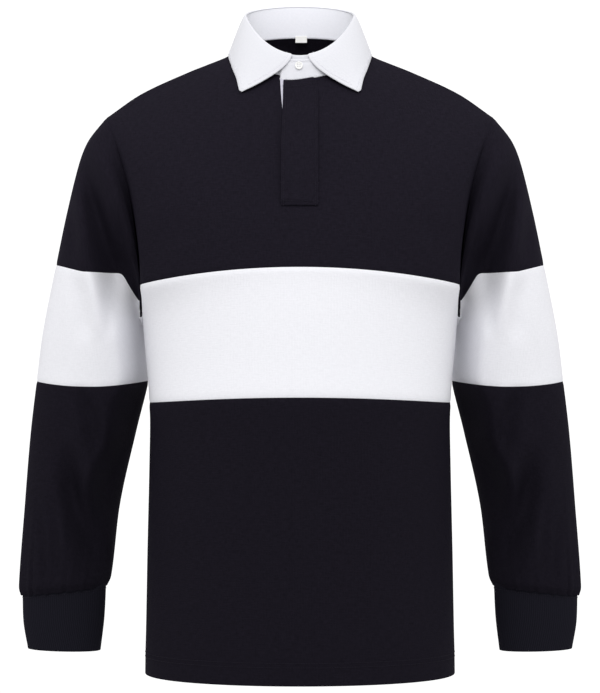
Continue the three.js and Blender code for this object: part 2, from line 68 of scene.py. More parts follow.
def add_node(tree, kind, inputs=None, **settings):
    """A new node with its settings, and its inputs linked or set by name or number."""
    node = tree.nodes.new(kind)
    for name, value in settings.items():
        setattr(node, name, value)
    for name, value in (inputs or {}).items():
        if isinstance(value, bpy.types.NodeSocket):
            tree.links.new(value, node.inputs[name])
        else:
            node.inputs[name].default_value = value
    return node


def new_material(name, surface):
    """A new material whose surface has the values given by name, its node tree and its shader."""
    material = bpy.data.materials.new(name)
    material.use_nodes = True
    shader = material.node_tree.nodes["Principled BSDF"]
    for label, value in surface.items():
        shader.inputs[label].default_value = value
    return material, material.node_tree, shader


def in_scene(name, data):
    """A new object in the scene."""
    thing = bpy.data.objects.new(name, data)
    bpy.context.scene.collection.objects.link(thing)
    return thing


def circle(radius, z, corners, x=0, y=0):
    """Points on a level circle."""
    turns = [2 * math.pi * k / corners for k in range(corners)]
    return [(x + radius * math.cos(a), y + radius * math.sin(a), z) for a in turns]


camera = in_scene("camera", bpy.data.cameras.new("camera"))
camera.location = (0, -CAMERA_AWAY, CAMERA_HIGH)
camera.rotation_euler = (math.pi / 2, 0, 0)
camera.data.sensor_fit = "VERTICAL"
camera.data.sensor_height = 36
camera.data.lens = LENS
camera.data.clip_end = 50
bpy.context.scene.camera = camera

# The surround is bright at the sides and above, softer in front and dim behind, with a bright
# patch behind the shirt that makes the background white
world = bpy.data.worlds.new("soft studio surround")
world.use_nodes = True
sky = world.node_tree
view = add_node(sky, "ShaderNodeTexCoord").outputs["Generated"]
way = add_node(sky, "ShaderNodeSeparateXYZ", {"Vector": view})
aside = add_node(sky, "ShaderNodeMath", {0: way.outputs["X"]}, operation="ABSOLUTE")
toward = {"X": aside.outputs[0], "Y": way.outputs["Y"], "Z": way.outputs["Z"]}
brightness = None
for axis, low, high, start, end in SURROUND:
    part = add_node(
        sky, "ShaderNodeMapRange",
        {"Value": toward[axis], "From Min": low, "From Max": high, "To Min": start, "To Max": end},
        interpolation_type="SMOOTHSTEP",
    )
    if brightness:
        both = {0: part.outputs[0], 1: brightness.outputs[0]}
        part = add_node(sky, "ShaderNodeMath", both, operation="ADD")
    brightness = part
sky.links.new(brightness.outputs[0], sky.nodes["Background"].inputs["Strength"])
sky.nodes["Background"].inputs["Color"].default_value = (1, 1, 1, 1)
bpy.context.scene.world = world
bpy.context.scene.view_settings.view_transform = "Standard"

for name, place, size, watts in LAMPS:
    lamp = in_scene(name, bpy.data.lights.new(name, "AREA"))
    lamp.data.size = size
    lamp.data.energy = watts
    lamp.location = place
    lamp.rotation_euler = (Vector(LAMPS_AIM) - lamp.location).to_track_quat("-Z", "Y").to_euler()

# Painted studio floor: matt and pale, it lifts the shadows from below
floor_look = {"Base Color": linear_colour("#d2d2d2"), "Roughness": 0.9}
floor_paint = new_material("matt pale floor", floor_look)[0]
floor_mesh = bpy.data.meshes.new("floor")
floor_corners = circle(FLOOR_REACH, FLOOR_Z, FLOOR_CORNERS)
floor_mesh.from_pydata(floor_corners, [], [tuple(range(FLOOR_CORNERS))])
floor_mesh.materials.append(floor_paint)
floor = in_scene("floor", floor_mesh)


# Front and back, upper: navy heavy cotton jersey, cut from the neck and shoulders down to the
# chest band. The front has the neck slit, which the placket covers. Shoulder seams join them.
JERSEY = 1.4
SEAM_DIP = 0.6
SEAM_DIP_SIDE = 0.7
SEAM_DIP_REACH = 3
NECK_HALF = 72
NECK_SIDE = {"y": 6, "z": 3}
NECK_FRONT = {"y": -75, "z": -39}
NECK_BACK = {"y": 62, "z": 21}
SLIT_HALF = 1
SLIT_FOOT_Z = -172
BAND_TOP = 1.75
BAND_FOOT = 2.25


def table(columns, *rows):
    """A table with named columns."""
    return [dict(zip(columns.split(), row)) for row in rows]


SHOULDER = table(
    "v x z",
    (0, 72, 3), (0.1, 85, -7.5), (0.25, 101, -13), (0.5, 136, -26.5), (0.78, 191, -52), (1, 232, -80),
)
SIDE = table(
    "v half z",
    (2, 190, -318), (2.12, 186.4, -366), (2.25, 181, -423), (2.4, 181.6, -490), (2.7, 184.4, -618),
    (3, 186, -747),
)
FRONT = table(
    "v y z round_y round_z",
    (0, -75, -39, 0.5, 0.5), (0.5, -97, -84, 0.72, 0.8), (1, -114, -130, 0.86, 1),
    (1.25, -123, -172, 0.74, 1), (1.5, -130, -216, 0.6, 1), (1.75, -134, -264, 0.5, 1),
    (2, -136, -314, 0.46, 1), (2.25, -138, -415, 0.46, 1), (2.6, -140, -570, 0.46, 1),
    (3, -142, -747, 0.46, 1),
)
BACK = table(
    "v y z round_y round_z",
    (0, 62, 21, 0.5, 0.5), (0.5, 88, -18, 0.6, 0.8), (1, 108, -68, 0.66, 1),
    (1.25, 118, -126, 0.6, 1), (1.5, 123, -192, 0.54, 1), (1.75, 123, -262, 0.48, 1),
    (2, 120, -316, 0.46, 1), (2.25, 112, -419, 0.46, 1), (2.6, 112, -570, 0.46, 1),
    (3, 124, -747, 0.46, 1),
)
RING_COLUMNS = "r outer_x outer_z inner_x inner_z mid_y front back hollow level sag"
SLEEVE = table(
    RING_COLUMNS,
    (0, 232, -80, 190, -318, 8, 70, 66, 2.3, 1, 0),
    (0.33, 258.5, -116, 190.8, -323, 12, 72, 67, 1.6, 0.85, 0),
    (0.67, 276, -174, 190.6, -328, 18, 68, 67, 1.2, 0.6, 0),
    (1, 294.5, -258, 190, -334, 25, 62, 66, 1, 0.3, 0),
    (1.5, 311, -338, 187.8, -364, 33, 60, 64, 1, 0.6, 3),
    (2, 319, -398, 185.5, -398, 37, 58, 62, 1, 1, 6),
    (2.3, 326.5, -462, 200.5, -460, 37, 55, 57, 1, 1, 4),
    (2.65, 333.5, -552, 220, -549, 34, 49, 51, 1, 1, 2),
    (2.93, 339, -644, 229, -633, 29, 41, 43, 1, 1, 0),
    (3, 336.5, -656, 233.5, -645, 28, 34, 36, 1, 1, 0),
)
# How far the armhole seam lies sunk between body and sleeve, from the shoulder point (0) to
# the underarm (180)
ARMHOLE_VALLEY = table(
    "turn depth",
    (0, 0), (35, 4), (70, 18), (110, 29), (145, 25), (166, 9), (180, 0),
)
VALLEY_BODY = 7
VALLEY_SLEEVE = 28
PANEL_EASING = 120
# Soft creases as seen from the front or the back: from one place to another, bent sideways,
# with a half width and a depth
CREASE = "from_x from_z to_x to_z bend width depth"
CREASE_FADE = 0.35
CREASE_SWELLS = ((1.8, 0.35), (-1.8, 0.2))
FRONT_CREASES = table(
    CREASE,
    (184, -240, 130, -200, -4, 16, 1.6), (-186, -250, -128, -204, 4, 16, 1.6),
    (170, -430, 150, -700, 4, 22, 1.4), (-170, -430, -152, -690, -4, 22, 1.4),
    (70, -640, 84, -747, 3, 26, 1.0), (-60, -600, -78, -747, -3, 26, 1.0),
)
BACK_CREASES = table(
    CREASE,
    (160, -150, 70, -300, 14, 24, 3.0), (-160, -150, -74, -310, -14, 24, 3.0),
    (176, -290, 80, -250, 10, 18, 2.6), (-176, -300, -86, -262, -10, 18, 2.6),
    (150, -380, 40, -470, 12, 26, 2.4), (-140, -400, -30, -500, -12, 26, 2.4),
    (60, -520, 76, -747, 6, 30, 2.2), (-52, -560, -70, -747, -6, 30, 2.2),
    (150, -540, 140, -720, 4, 24, 1.8), (-152, -520, -138, -720, -4, 24, 1.8),
)


def along(rows, key, name, at):
    """Smooth values of one column of a table at the stations."""
    keys = np.array([row[key] for row in rows], float)
    values = np.array([row[name] for row in rows], float)
    before = np.maximum(np.arange(len(keys)) - 1, 0)
    after = np.minimum(np.arange(len(keys)) + 1, len(keys) - 1)
    slopes = (values[after] - values[before]) / (keys[after] - keys[before])
    i = np.clip(np.searchsorted(keys, at) - 1, 0, len(keys) - 2)
    span = keys[i + 1] - keys[i]
    t = np.clip((at - keys[i]) / span, 0, 1)
    straight = values[i] + (values[i + 1] - values[i]) * t * t * (3 - 2 * t)
    return straight + span * (t * (1 - t) ** 2 * slopes[i] + t * t * (t - 1) * slopes[i + 1])


def ring_point(rows, turn, r):
    """Points of a left sleeve or cuff: turn 0 is outside, 90 in front and 180 underneath."""
    turn, r = np.broadcast_arrays(np.asarray(turn, float), np.asarray(r, float))
    at = {name: along(rows, "r", name, r) for name in rows[0]}
    sin = np.sin(np.radians(turn))
    high = (1 + np.cos(np.radians(turn))) / 2
    low = 1 - high
    drop = at["level"] * low + (1 - at["level"]) * low ** 12
    x = at["inner_x"] + (at["outer_x"] - at["inner_x"]) * high ** at["hollow"]
    y = at["mid_y"] - np.where(sin > 0, at["front"], at["back"]) * sin
    z = at["outer_z"] + (at["inner_z"] - at["outer_z"]) * drop - at["sag"] * sin * sin
    return np.stack((x, y, z), -1)


def side_of(v, back):
    """Ends of the rows: on the shoulder seam, the armhole or the side seam."""
    shoulder_y = NECK_SIDE["y"] + 2 * v
    shoulder = np.stack((along(SHOULDER, "v", "x", v), shoulder_y, along(SHOULDER, "v", "z", v)), -1)
    armhole = ring_point(SLEEVE, (v - 1) * (-180 if back else 180), 0)
    side = np.stack((along(SIDE, "v", "half", v), 8 + 0 * v, along(SIDE, "v", "z", v)), -1)
    return np.where((v < 1)[..., None], shoulder, np.where((v <= 2)[..., None], armhole, side))


def panel_point(back, v, share):
    """Points of the front or back; share is the place across, -1 to 1."""
    v, share = np.broadcast_arrays(np.asarray(v, float), np.asarray(share, float))
    rows = BACK if back else FRONT
    side = side_of(v, back)
    inside = np.clip(1 - share * share, 0, None)
    deep = inside ** along(rows, "v", "round_y", v)
    rise = inside ** along(rows, "v", "round_z", v)
    x = side[..., 0] * share
    y = side[..., 1] + (along(rows, "v", "y", v) - side[..., 1]) * deep
    z = side[..., 2] + (along(rows, "v", "z", v) - side[..., 2]) * rise
    return np.stack((x, y, z), -1)


def unit(vectors):
    """The vectors at length 1."""
    return vectors / np.maximum(np.linalg.norm(vectors, axis=-1, keepdims=True), 1e-9)


def outward(grid, closed=False):
    """Directions out of a grid whose rows run down and whose columns run to the right."""
    if closed:
        across = np.roll(grid, -1, 1) - np.roll(grid, 1, 1)
    else:
        across = np.gradient(grid, axis=1)
    return unit(np.cross(np.gradient(grid, axis=0), across))


def smooth(value, low, high):
    """0 below low, 1 above high, with a soft step between."""
    t = np.clip((value - low) / (high - low), 0, 1)
    return t * t * (3 - 2 * t)


def crease_depth(x, z, creases):
    """How deep the creases lie at places seen from the front or the back."""
    total = np.zeros(np.broadcast(x, z).shape)
    for crease in creases:
        run = np.array((crease["to_x"] - crease["from_x"], crease["to_z"] - crease["from_z"]), float)
        length = np.linalg.norm(run)
        way = run / length
        dx = x - crease["from_x"]
        dz = z - crease["from_z"]
        t = (dx * way[0] + dz * way[1]) / length
        middle = crease["bend"] * 4 * t * (1 - t)
        s = (dx * way[1] - dz * way[0] - middle) / crease["width"]
        fade = smooth(np.clip(t / CREASE_FADE, 0, 1) * np.clip((1 - t) / CREASE_FADE, 0, 1), 0, 1)
        shape = np.exp(-s * s)
        for off, high in CREASE_SWELLS:
            shape = shape - high * np.exp(-(s - off) ** 2)
        total += crease["depth"] * fade * shape
    return total


def spaced(start, end, count):
    """Stations that lie closer together at both ends, where the seams are."""
    t = np.linspace(0, 1, count)
    t = 0.55 * t + 0.45 * (1 - np.cos(np.pi * t)) / 2
    return start + (end - start) * t


def run_from(grid, edge):
    """How far each point of a grid lies from one of its edges, along the cloth."""
    upright = edge in ("top", "foot")
    lines = grid if upright else grid.transpose(1, 0, 2)
    if edge in ("foot", "right"):
        lines = lines[::-1]
    steps = np.linalg.norm(np.diff(lines, axis=0), axis=-1)
    run = np.cumsum(np.pad(steps, ((1, 0), (0, 0))), axis=0)
    if edge in ("foot", "right"):
        run = run[::-1]
    return run if upright else run.T


def eased(grid, weight, times):
    """A grid with the bumps between its edges smoothed out."""
    grid = grid.copy()
    for _ in range(times):
        around = (grid[:-2, 1:-1] + grid[2:, 1:-1] + grid[1:-1, :-2] + grid[1:-1, 2:]) / 4
        grid[1:-1, 1:-1] += (around - grid[1:-1, 1:-1]) * weight[1:-1]
    return grid


def tucked(grid, edges, closed=False, reach=1.4, depth=2.4):
    """A grid that turns in under its neighbour at the edges named, as a seam's allowance does."""
    for edge in edges:
        normal = outward(grid, closed)
        upright = edge in ("top", "foot")
        lines = grid if upright else grid.transpose(1, 0, 2)
        normals = normal if upright else normal.transpose(1, 0, 2)
        at, beside = (0, 1) if edge in ("top", "left") else (-1, -2)
        away = unit(lines[at] - lines[beside])
        extra = [lines[at] + away * reach * t - normals[at] * depth * t * t for t in (0.4, 0.7, 1)]
        lines = np.concatenate((extra[::-1], lines) if at == 0 else (lines, extra), 0)
        grid = lines if upright else lines.transpose(1, 0, 2)
    return grid


def cloth(name, grid, thick, material, closed=False, skip=None, upright=False):
    """A thin wall of cloth under a grid of outer points, with rounded edges and its own UV map."""
    rows, cols = grid.shape[:2]
    normal = outward(grid, closed)
    count = rows * cols
    outer = grid.reshape(-1, 3)
    inner = (grid - normal * thick).reshape(-1, 3)
    flat_normal = normal.reshape(-1, 3)
    r, c = np.meshgrid(np.arange(rows - 1), np.arange(cols if closed else cols - 1), indexing="ij")
    if skip is not None:
        keep = ~skip[r, c]
        r, c = r[keep], c[keep]
    r, c = r.ravel(), c.ravel()
    d = (c + 1) % cols
    quads = np.stack((r * cols + c, (r + 1) * cols + c, (r + 1) * cols + d, r * cols + d), 1)
    across = np.linalg.norm(np.diff(np.concatenate((grid, grid[:, :1]), 1), axis=1), axis=-1)
    u = np.concatenate((np.zeros((rows, 1)), np.cumsum(across, 1)), 1)
    u -= u[:, cols // 2:cols // 2 + 1]
    v = -grid[..., 2] if upright else run_from(grid, "top")
    corners = [(r, c, c), (r + 1, c, c), (r + 1, d, c + 1), (r, d, c + 1)]
    uv = np.stack([np.stack((u[a, right], -v[a, b]), -1) for a, b, right in corners], 1) / 1000
    # The rounded edge follows every side that belongs to one quad only
    edges = {}
    for quad in quads.tolist():
        for i in range(4):
            a, b = quad[i], quad[(i + 1) % 4]
            if edges.pop((b, a), None) is None:
                edges[a, b] = True
    push = {}
    for a, b in edges:
        out = np.cross(outer[b] - outer[a], flat_normal[a])
        out /= max(np.linalg.norm(out), 1e-9)
        for end in (a, b):
            push[end] = push.get(end, 0) + out
    middle = {a: 2 * count + i for i, a in enumerate(push)}
    rim = np.array([(outer[a] + inner[a]) / 2 + unit(out) * thick * 0.42 for a, out in push.items()])
    rim_quads = []
    for a, b in edges:
        rim_quads.append((b, a, middle[a], middle[b]))
        rim_quads.append((middle[b], middle[a], a + count, b + count))
    place = np.stack((u[:, :cols].ravel(), -v.ravel()), -1) / 1000
    home = {m: a for a, m in middle.items()}
    rim_uv = [place[home[q] if q in home else q % count] for quad in rim_quads for q in quad]
    faces = np.concatenate((quads, quads[:, ::-1] + count, np.array(rim_quads)), 0)
    loops_uv = np.concatenate((uv.reshape(-1, 2), uv[:, ::-1].reshape(-1, 2), np.array(rim_uv)), 0)
    mesh = bpy.data.meshes.new(name)
    mesh.from_pydata(np.concatenate((outer, inner, rim), 0) / 1000, [], faces.tolist())
    mesh.uv_layers.new(name="cloth").data.foreach_set("uv", loops_uv.ravel())
    mesh.shade_smooth()
    mesh.materials.append(material)
    return in_scene(name, mesh)


def sew_in(node, grid, goods, flat, area, kind="cloth", **shape):
    """A piece of the shirt in its node's place, made as cloth. Its goods are the thickness, the material and
    the slot, which is not used."""
    thick, material, slot = goods
    piece = cloth(f"{node}_{kind}", grid, thick, material, **shape)
    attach(piece, "root")
    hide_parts(node)


WAVE_MM = 0.31416  # scale of a wave texture with one band a millimetre


def millimetres_of(tree):
    """Places on the flat cloth in millimetres."""
    uv = add_node(tree, "ShaderNodeUVMap", uv_map="cloth").outputs["UV"]
    return add_node(tree, "ShaderNodeMapping", {"Vector": uv, "Scale": (1000, 1000, 1000)}).outputs[0]


def colour_between(tree, share, deep, bright):
    """A colour between deep and bright."""
    parts = {0: share, 6: linear_colour(deep), 7: linear_colour(bright)}
    return add_node(tree, "ShaderNodeMix", parts, data_type="RGBA").outputs[2]


def changed_along(tree, colour, axis, start, end, factor, blend="SMOOTHSTEP"):
    """A colour times the factor, up to the start of a range along an axis, and its own after it."""
    place = add_node(tree, "ShaderNodeTexCoord").outputs["Object"]
    along_axis = add_node(tree, "ShaderNodeSeparateXYZ", {"Vector": place}).outputs[axis]
    change = add_node(
        tree, "ShaderNodeMapRange",
        {"Value": along_axis, "From Min": start, "From Max": end, "To Min": factor, "To Max": 1.0},
        interpolation_type=blend,
    )
    parts = {0: colour, "Scale": change.outputs[0]}
    return add_node(tree, "ShaderNodeVectorMath", parts, operation="SCALE").outputs[0]


def add_relief(tree, shader, strength, distance, coarse, fine=0.0, share=0.0):
    """A relief too fine to be shaped: a coarse one and a share of a finer one."""
    height = add_node(tree, "ShaderNodeMath", {0: fine, 1: share, 2: coarse}, operation="MULTIPLY_ADD")
    bump = {"Height": height.outputs[0], "Strength": strength, "Distance": distance}
    tree.links.new(add_node(tree, "ShaderNodeBump", bump).outputs[0], shader.inputs["Normal"])


def cotton_jersey(name, deep, bright, sheen, sheen_tint, specular, relief, painted_shade_below=1.0):
    """Knitted cotton: uneven slubby yarn in upright wales, matt, with a little surface fuzz. It can be
    painted darker towards the bottom, a painted shade for light falling from above."""
    material, tree, shader = new_material(name, {
        "Roughness": 0.92, "Specular IOR Level": specular, "Sheen Weight": sheen,
        "Sheen Roughness": 0.45, "Sheen Tint": linear_colour(sheen_tint),
    })
    millimetres = millimetres_of(tree)
    yarn = add_node(tree, "ShaderNodeMapping", {"Vector": millimetres, "Scale": (0.55, 0.16, 1)})
    uneven = add_node(
        tree, "ShaderNodeTexNoise",
        {"Vector": yarn.outputs[0], "Scale": 1.0, "Detail": 3.0, "Roughness": 0.6},
    )
    course = add_node(tree, "ShaderNodeMapping", {"Vector": millimetres, "Scale": (0.12, 0.7, 1)})
    rows = add_node(tree, "ShaderNodeTexNoise", {"Vector": course.outputs[0], "Scale": 1.0, "Detail": 2.0})
    both = {0: uneven.outputs["Fac"], 1: rows.outputs["Fac"]}
    slub = add_node(tree, "ShaderNodeMath", both, operation="ADD").outputs[0]
    spread = add_node(tree, "ShaderNodeMapRange", {"Value": slub, "From Min": 0.55, "From Max": 1.45})
    colour = colour_between(tree, spread.outputs[0], deep, bright)
    # Painted shade: the colour darkens towards the bottom, as if the light fell from above
    colour = changed_along(tree, colour, "Z", -0.5, -0.15, painted_shade_below)
    tree.links.new(colour, shader.inputs["Base Color"])
    # Wales of 0.9 mm are too fine to show from here, so they are drawn 1.8 mm wide
    wales = add_node(
        tree, "ShaderNodeTexWave",
        {"Vector": millimetres, "Scale": WAVE_MM / 1.8, "Distortion": 1.2, "Detail": 2.0,
         "Detail Scale": 1.5},
        bands_direction="X",
    )
    add_relief(tree, shader, relief, 0.0006, slub, wales.outputs["Fac"], 0.35)
    return material


# Navy jersey: soft, matt and nearly black, with painted shade that makes it darker below than above, as if
# lit from above
navy_jersey = cotton_jersey("navy cotton jersey", "#131118", "#1f1c25", 0.03, "#6a6088", 0.04, 0.5, 0.8)
# White jersey: clean, soft and a little uneven in its yarn
white_jersey = cotton_jersey("white cotton jersey", "#e0e0e5", "#e9e9ee", 0.05, "#ffffff", 0.2, 0.3)
NAVY = (JERSEY, navy_jersey, "navy_jersey")
WHITE = (JERSEY, white_jersey, "white_jersey")

half = np.sin(np.radians(np.linspace(0, 90, 66)[1:]))
PANEL_COLUMNS = np.concatenate((-half[::-1], half))


def panel_grid(back, start, end, count):
    """Outer points of part of the front or back, with its creases and drawn-in seams."""
    v = spaced(start, end, count)[:, None]
    slit = SLIT_HALF / side_of(v[:, 0], back)[:, 0]
    share = np.repeat(PANEL_COLUMNS[None], count, 0)
    middle = share.shape[1] // 2
    share = np.concatenate((share[:, :middle], -slit[:, None], slit[:, None], share[:, middle:]), 1)
    grid = panel_point(back, v, share)
    if back:
        grid = grid[:, ::-1]
    # The cloth is eased between its seams, which stay where they are
    loose = smooth(v, 0.1, 0.3) * smooth(-v, -2.95, -2.7)
    for seam in (BAND_TOP, BAND_FOOT):
        loose = loose * smooth(np.abs(v - seam), 0.01, 0.1)
    grid = eased(grid, loose[..., None], PANEL_EASING)
    turn = np.clip(v - 1, 0, 1) * 180
    from_ends = np.stack((run_from(grid, "left"), run_from(grid, "right")))
    valley = along(ARMHOLE_VALLEY, "turn", "depth", turn) * np.exp(-(from_ends / VALLEY_BODY) ** 2).sum(0)
    inward = -1 if back else 1
    grid[..., 1] += inward * valley
    depth = crease_depth(inward * grid[..., 0], grid[..., 2], BACK_CREASES if back else FRONT_CREASES)
    # Creases end at the side seams
    depth *= np.clip((1 - np.abs(share)) / 0.06, 0, 1)
    grid[..., 1] += inward * depth
    depth = SEAM_DIP_SIDE * np.exp(-(from_ends / SEAM_DIP_REACH) ** 2).sum(0)
    for edge, seam in (("top", start > 0), ("foot", end < 3)):
        if seam:
            depth += SEAM_DIP * np.exp(-(run_from(grid, edge) / SEAM_DIP_REACH) ** 2)
    return grid - outward(grid) * depth[..., None]


front_upper = tucked(panel_grid(False, 0, BAND_TOP, 110), ("left", "right"))
in_slit = np.zeros(front_upper.shape[:2], bool)
slit_column = front_upper.shape[1] // 2 - 1
in_slit[:-1, slit_column] = front_upper[1:, slit_column, 2] > SLIT_FOOT_Z
sew_in("front_upper", front_upper, NAVY, (0.56, 0.34), 0.132, skip=in_slit, upright=True)
back_upper = tucked(panel_grid(True, 0, BAND_TOP, 110), ("left", "right"))
sew_in("back_upper", back_upper, NAVY, (0.56, 0.36), 0.141, upright=True)


# Chest band: white heavy cotton jersey let into front and back. Its top and foot run on under
# the navy pieces in plain seams.
front_band = tucked(panel_grid(False, BAND_TOP, BAND_FOOT, 54), ("top", "foot", "left", "right"))
sew_in("front_band", front_band, WHITE, (0.56, 0.18), 0.08)
back_band = tucked(panel_grid(True, BAND_TOP, BAND_FOOT, 54), ("top", "foot"))
sew_in("back_band", back_band, WHITE, (0.56, 0.18), 0.074)


# Front and back, lower: navy jersey down to the hem, which is turned up inside and held by
# two rows of stitches.
HEM_DEEP = 29
HEM_ROWS = (20.4, 25.5)


def inset_line(grid, edge, inset, lift=0.25, closed=False):
    """A line on a grid that keeps its distance from one edge."""
    lifted = grid + outward(grid, closed) * lift
    if edge in ("left", "right"):
        lifted = lifted.transpose(1, 0, 2)
    if edge in ("foot", "right"):
        lifted = lifted[::-1]
    run = run_from(lifted, "top")
    return np.array([
        [np.interp(inset, run[:, c], lifted[:, c, axis]) for axis in range(3)]
        for c in range(lifted.shape[1])
    ])


def turned_up(grid, deep, closed=False):
    """A grid that turns round its foot and runs up inside."""
    normal = outward(grid, closed)
    down = unit(grid[-1] - grid[-2])
    radius = JERSEY + 0.2
    bend = [
        grid[-1] - normal[-1] * radius * (1 - math.cos(a)) + down * radius * math.sin(a) * 0.8
        for a in np.radians((35, 90, 145, 180))
    ]
    inside = [
        inset_line(grid, "foot", up, 0, closed) - normal[-1] * 2 * radius
        for up in np.linspace(0, deep, 9)[1:]
    ]
    return np.concatenate((grid, bend, inside), 0)


# Stitches follow a line: a small rounded thread on each of its evenly spaced points
stitch_tree = bpy.data.node_groups.new("stitches", "GeometryNodeTree")
stitch_tree.interface.new_socket("Geometry", in_out="INPUT", socket_type="NodeSocketGeometry")
for label in ("Pitch", "Stitch Length", "Thread Radius"):
    stitch_tree.interface.new_socket(label, in_out="INPUT", socket_type="NodeSocketFloat")
stitch_tree.interface.new_socket("Thread", in_out="INPUT", socket_type="NodeSocketMaterial")
stitch_tree.interface.new_socket("Geometry", in_out="OUTPUT", socket_type="NodeSocketGeometry")
given = add_node(stitch_tree, "NodeGroupInput").outputs
line = add_node(stitch_tree, "GeometryNodeMeshToCurve", {"Mesh": given["Geometry"]})
stops = add_node(
    stitch_tree, "GeometryNodeResampleCurve",
    {"Curve": line.outputs["Curve"], "Length": given["Pitch"]}, mode="LENGTH",
)
tangent = add_node(stitch_tree, "GeometryNodeInputTangent")
turn = add_node(stitch_tree, "FunctionNodeAlignRotationToVector", {"Vector": tangent.outputs[0]}, axis="Z")
bead = add_node(stitch_tree, "GeometryNodeMeshUVSphere", {"Segments": 6, "Rings": 5, "Radius": 1.0})
halved = {0: given["Stitch Length"], 1: 0.5}
half_length = add_node(stitch_tree, "ShaderNodeMath", halved, operation="MULTIPLY")
bead_size = add_node(
    stitch_tree, "ShaderNodeCombineXYZ",
    {"X": given["Thread Radius"], "Y": given["Thread Radius"], "Z": half_length.outputs[0]},
)
stitches = add_node(
    stitch_tree, "GeometryNodeInstanceOnPoints",
    {"Points": stops.outputs["Curve"], "Instance": bead.outputs["Mesh"], "Rotation": turn.outputs[0],
     "Scale": bead_size.outputs[0]},
)
real = add_node(stitch_tree, "GeometryNodeRealizeInstances", {"Geometry": stitches.outputs[0]})
threaded = add_node(
    stitch_tree, "GeometryNodeSetMaterial", {"Geometry": real.outputs[0], "Material": given["Thread"]},
)
add_node(stitch_tree, "NodeGroupOutput", {"Geometry": threaded.outputs[0]})


def plain_mesh(carrier, name):
    """The mesh of an object with its modifiers applied; the object itself goes."""
    mesh = bpy.data.meshes.new_from_object(carrier.evaluated_get(bpy.context.evaluated_depsgraph_get()))
    mesh.name = name
    mesh.shade_smooth()
    bpy.data.objects.remove(carrier)
    return mesh


def sewn(name, lines, thread, pitch=3.0, length=2.4, radius=0.3):
    """Rows of stitches along lines given in millimetres, as one plain mesh."""
    path = bpy.data.meshes.new(name + " path")
    points = []
    links = []
    for line_points in lines:
        first = len(points)
        points.extend((np.array(line_points) / 1000).tolist())
        links.extend((i, i + 1) for i in range(first, len(points) - 1))
    path.from_pydata(points, links, [])
    carrier = in_scene(name + " path", path)
    modifier = carrier.modifiers.new("stitches", "NODES")
    modifier.node_group = stitch_tree
    sizes = {"Pitch": pitch / 1000, "Stitch Length": length / 1000, "Thread Radius": radius / 1000}
    values = {**sizes, "Thread": thread}
    for item in stitch_tree.interface.items_tree:
        if item.name in values:
            modifier[item.identifier] = values[item.name]
    piece = in_scene(name, plain_mesh(carrier, name))
    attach(piece, "root")


def sewing_thread(name, colour, specular):
    """Spun polyester sewing thread: smooth and slightly shiny beside the cloth."""
    surface = {"Base Color": linear_colour(colour), "Roughness": 0.55, "Specular IOR Level": specular}
    material, tree, shader = new_material(name, surface)
    place = add_node(tree, "ShaderNodeTexCoord").outputs["Object"]
    twist = add_node(tree, "ShaderNodeTexNoise", {"Vector": place, "Scale": 900.0, "Detail": 1.0})
    add_relief(tree, shader, 0.4, 0.0002, twist.outputs["Fac"])
    return material


# Navy thread hardly shows on the navy cloth; white thread catches a little light on the white
navy_thread = sewing_thread("navy polyester thread", "#1f1c26", 0.1)
white_thread = sewing_thread("white polyester thread", "#e4e4ea", 0.4)

front_lower_grid = panel_grid(False, BAND_FOOT, 3, 96)
tucked_front_lower = tucked(front_lower_grid, ("left", "right"))
sew_in("front_lower", turned_up(tucked_front_lower, HEM_DEEP), NAVY, (0.56, 0.42), 0.19)
back_lower_grid = panel_grid(True, BAND_FOOT, 3, 96)
sew_in("back_lower", turned_up(back_lower_grid, HEM_DEEP), NAVY, (0.56, 0.42), 0.167)
hems = (front_lower_grid, back_lower_grid)
hem_lines = [inset_line(hem, "foot", inset) for hem in hems for inset in HEM_ROWS]
sewn("hem_stitches", hem_lines, navy_thread)


# Sleeves: navy sleeve head set into the armhole, white band, navy lower sleeve gathered a
# little into the cuff. The left one is made and the right one is its mirror image.
SLEEVE_FRONT_CREASES = table(
    CREASE,
    (266, -112, 214, -350, 7, 14, 30.0),
    (240, -140, 206, -262, 6, 7, 5.0),
    (283, -150, 268, -262, 3, 8, 8.0),
    (264, -262, 258, -360, 2, 11, 3.4),
    (238, -262, 226, -352, 3, 7, 2.6),
    (268, -398, 240, -500, 5, 11, 8.0),
    (286, -400, 276, -470, 2, 9, 2.0),
    (280, -466, 236, -650, -8, 13, 20.0),
    (314, -540, 304, -656, 2, 5, 3.2),
    (298, -520, 292, -656, 2, 6, 3.2),
)
SLEEVE_BACK_CREASES = table(
    CREASE,
    (262, -140, 212, -262, 8, 13, 7.0),
    (240, -170, 200, -300, -8, 12, 6.0),
    (296, -325, 212, -378, 10, 14, 6.0),
    (314, -396, 220, -474, 10, 15, 9.0),
    (308, -446, 238, -528, -8, 14, 8.0),
    (318, -500, 258, -610, 6, 13, 6.0),
    (286, -560, 300, -650, 0, 8, 3.0),
)
ARMHOLE_DIP = 0.9
# In front the sleeve turns away along this line, and its inner side lies further back
INNER_RIDGE = table(
    "z x",
    (-656, 248), (-630, 252), (-594, 259), (-560, 263), (-530, 259), (-500, 247), (-470, 234),
    (-426, 225), (-400, 214), (-372, 215), (-336, 220), (-300, 226), (-262, 231), (-200, 236),
)
RIDGE_REACH = (-4, 27)
SET_BACK = table("r y", (0, 0), (0.5, 5), (1, 18), (1.5, 29), (2, 34), (2.5, 34), (2.8, 26), (3, 7))
# The seam between sleeve head and band as it shows in front, down to the armhole
HEAD_FOOT = table("x z", (188, -314), (214, -268.4), (259, -267.2), (300, -256.5))
HEAD_LEAST = 0.25
GATHER = table("waves turn_shift share", (23, 10, 0.5), (37, 140, 0.35), (54, 65, 0.25))
GATHER_DEEP = 1.0
RING = np.linspace(180, -180, 121)[:-1]

